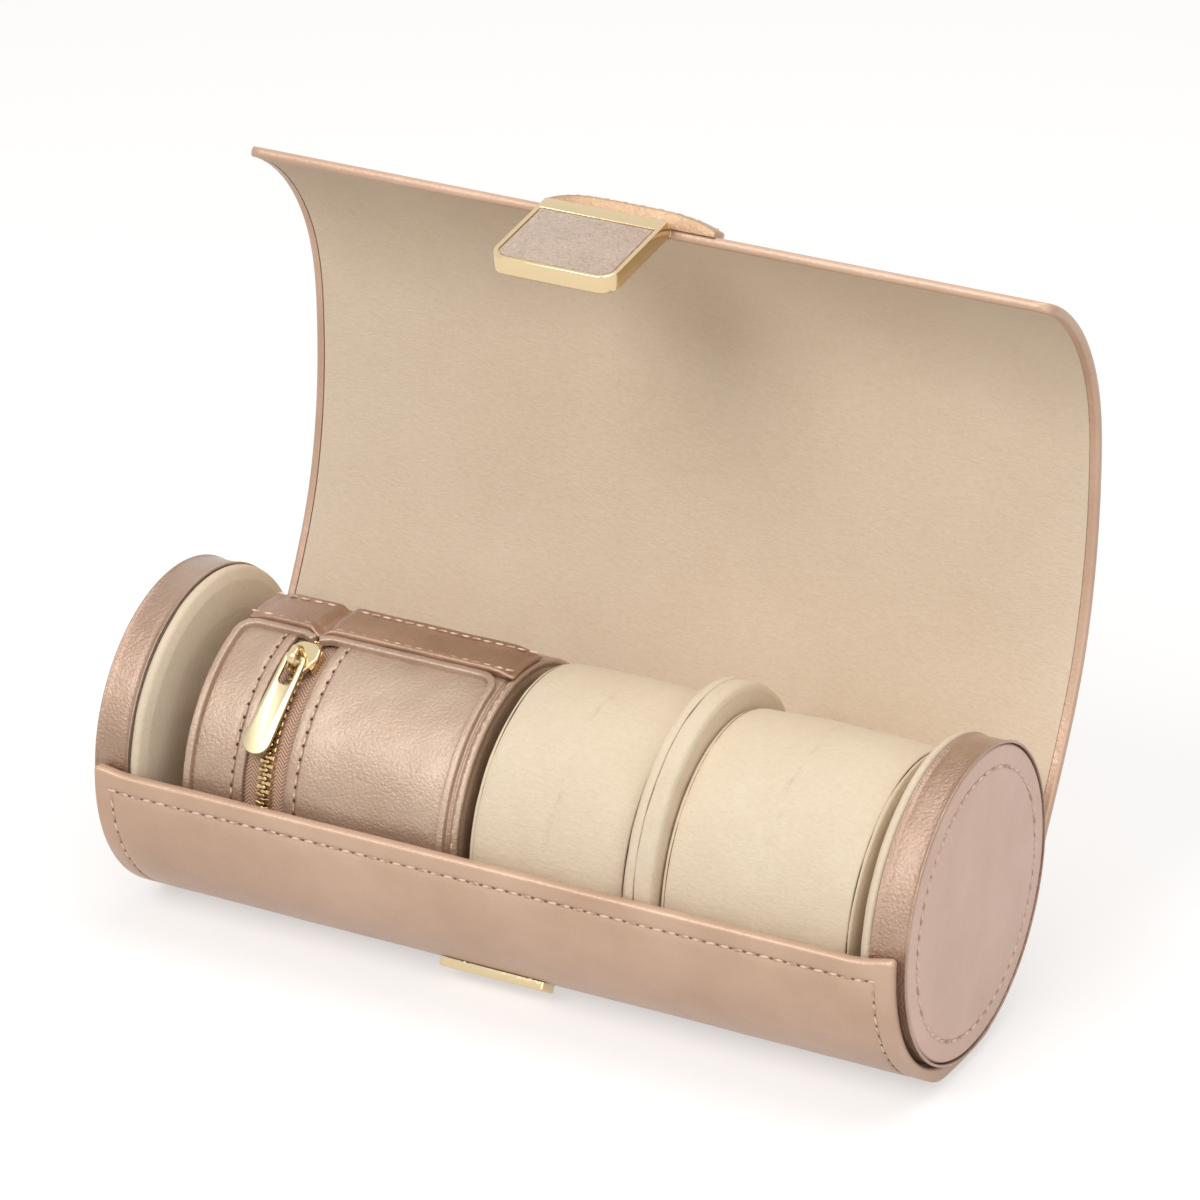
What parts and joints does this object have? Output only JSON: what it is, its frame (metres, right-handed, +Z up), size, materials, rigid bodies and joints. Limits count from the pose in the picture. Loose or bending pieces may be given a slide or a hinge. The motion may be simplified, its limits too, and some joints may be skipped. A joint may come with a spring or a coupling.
{
  "type": "watch roll",
  "caption": "Cylindrical leather watch roll shown open: curled hinged flap with metal clasp, watch cushions, padded divider and a zipped jewellery pouch.",
  "frame": {"origin": "middle of the flat underside, straight below the roll's axis", "axes": "+X along the roll to its plain right end, +Y to the back where the flap stands, +Z up"},
  "size_m": [0.2064, 0.107, 0.1739],
  "materials": {
    "metallic_leather": "satin",
    "lining_suede": "matte",
    "cream_suede": "matte",
    "foam": "matte",
    "board": "matte",
    "zip_tape": "matte",
    "gold_metal": "polished",
    "steel": "satin"
  },
  "bodies": {
    "wrap": {"shell_cover": "metallic_leather", "shell_board": "board", "shell_lining": "lining_suede", "left_end_core": "board", "left_end_band": "metallic_leather", "left_end_outer_disc": "metallic_leather", "left_end_inner_disc": "cream_suede", "right_end_core": "board", "right_end_band": "metallic_leather", "right_end_outer_disc": "metallic_leather", "right_end_inner_disc": "cream_suede", "divider_narrow_disc": "cream_suede", "divider_wide_disc": "cream_suede", "catch_plate": "gold_metal", "catch_left_rivet": "steel", "catch_right_rivet": "steel"},
    "flap_1": {"flap_cover_1": "metallic_leather", "flap_lining_1": "lining_suede"},
    "flap_2": {"flap_cover_2": "metallic_leather", "flap_lining_2": "lining_suede"},
    "flap_3": {"flap_cover_3": "metallic_leather", "flap_lining_3": "lining_suede"},
    "flap_4": {"flap_cover_4": "metallic_leather", "flap_lining_4": "lining_suede"},
    "flap_5": {"flap_cover_5": "metallic_leather", "flap_lining_5": "lining_suede"},
    "flap_6": {"flap_cover_6": "metallic_leather", "flap_lining_6": "lining_suede"},
    "flap_7": {"flap_cover_7": "metallic_leather", "flap_lining_7": "lining_suede", "clasp_bracket": "gold_metal", "clasp_tab": "metallic_leather"},
    "clasp": {"clasp_frame": "gold_metal", "clasp_inlay": "metallic_leather", "clasp_magnet": "steel", "clasp_pin": "steel"},
    "cushion_one": {"cushion_one_cover": "cream_suede", "cushion_one_left_end": "cream_suede", "cushion_one_right_end": "cream_suede", "cushion_one_foam": "foam"},
    "cushion_two": {"cushion_two_cover": "cream_suede", "cushion_two_left_end": "cream_suede", "cushion_two_right_end": "cream_suede", "cushion_two_foam": "foam"},
    "pouch": {"pouch_base_shell": "metallic_leather", "pouch_base_lining": "cream_suede", "pouch_base_piping": "metallic_leather", "pouch_lid_shell": "metallic_leather", "pouch_lid_lining": "cream_suede", "pouch_lid_piping": "metallic_leather", "pouch_spine": "metallic_leather", "zip_tape_left": "zip_tape", "zip_tape_right": "zip_tape", "zip_teeth_left": "gold_metal", "zip_teeth_right": "gold_metal"},
    "zip_slider": {"zip_slider": "gold_metal"},
    "zip_pull": {"zip_pull": "gold_metal"}
  },
  "joints": [
    {"name": "flap_fold_1", "type": "hinge", "parent": "wrap", "child": "flap_1", "pos_m": [0, 0.03845, 0.03335], "axis": [1, 0, 0], "range_deg": [0, 34.55]},
    {"name": "flap_fold_2", "type": "hinge", "parent": "flap_1", "child": "flap_2", "pos_m": [0, 0.04864, 0.05251], "axis": [1, 0, 0], "range_deg": [0, 29.31]},
    {"name": "flap_fold_3", "type": "hinge", "parent": "flap_2", "child": "flap_3", "pos_m": [0, 0.05781, 0.07217], "axis": [1, 0, 0], "range_deg": [0, 20.31]},
    {"name": "flap_fold_4", "type": "hinge", "parent": "flap_3", "child": "flap_4", "pos_m": [0, 0.06269, 0.09332], "axis": [1, 0, 0], "range_deg": [0, 22.67]},
    {"name": "flap_fold_5", "type": "hinge", "parent": "flap_4", "child": "flap_5", "pos_m": [0, 0.06402, 0.11498], "axis": [1, 0, 0], "range_deg": [0, 20.05]},
    {"name": "flap_fold_6", "type": "hinge", "parent": "flap_5", "child": "flap_6", "pos_m": [0, 0.06156, 0.13654], "axis": [1, 0, 0], "range_deg": [0, 3.27]},
    {"name": "flap_fold_7", "type": "hinge", "parent": "flap_6", "child": "flap_7", "pos_m": [0, 0.05104, 0.15552], "axis": [1, 0, 0], "range_deg": [0, 14.63]},
    {"name": "clasp_hinge", "type": "hinge", "parent": "flap_7", "child": "clasp", "pos_m": [-0.006, 0.03224, 0.17014], "axis": [1, 0, 0], "range_deg": [-15, 0]},
    {"name": "cushion_one_lift", "type": "slide", "parent": "wrap", "child": "cushion_one", "axis": [0, 0, -1], "range_m": [-0.075, 0]},
    {"name": "cushion_two_lift", "type": "slide", "parent": "wrap", "child": "cushion_two", "axis": [0, 0, -1], "range_m": [-0.075, 0]},
    {"name": "pouch_lift", "type": "slide", "parent": "wrap", "child": "pouch", "axis": [0, 0, -1], "range_m": [-0.075, 0]},
    {"name": "zip_travel", "type": "hinge", "parent": "pouch", "child": "zip_slider", "pos_m": [0, 0, 0.03695], "axis": [-1, 0, 0], "range_deg": [-14, 0]},
    {"name": "zip_pull_swing", "type": "hinge", "parent": "zip_slider", "child": "zip_pull", "pos_m": [-0.0603, -0.01722, 0.07071], "axis": [1, 0, 0], "range_deg": [-110, 0]}
  ],
  "couplings": [
    {"joint": "flap_fold_2", "follows": "flap_fold_1", "ratio": 0.84833},
    {"joint": "flap_fold_3", "follows": "flap_fold_1", "ratio": 0.58783},
    {"joint": "flap_fold_4", "follows": "flap_fold_1", "ratio": 0.65614},
    {"joint": "flap_fold_5", "follows": "flap_fold_1", "ratio": 0.58031},
    {"joint": "flap_fold_6", "follows": "flap_fold_1", "ratio": 0.09464},
    {"joint": "flap_fold_7", "follows": "flap_fold_1", "ratio": 0.42343},
    {"joint": "clasp_hinge", "follows": "flap_fold_1", "ratio": -0.43414}
  ]
}
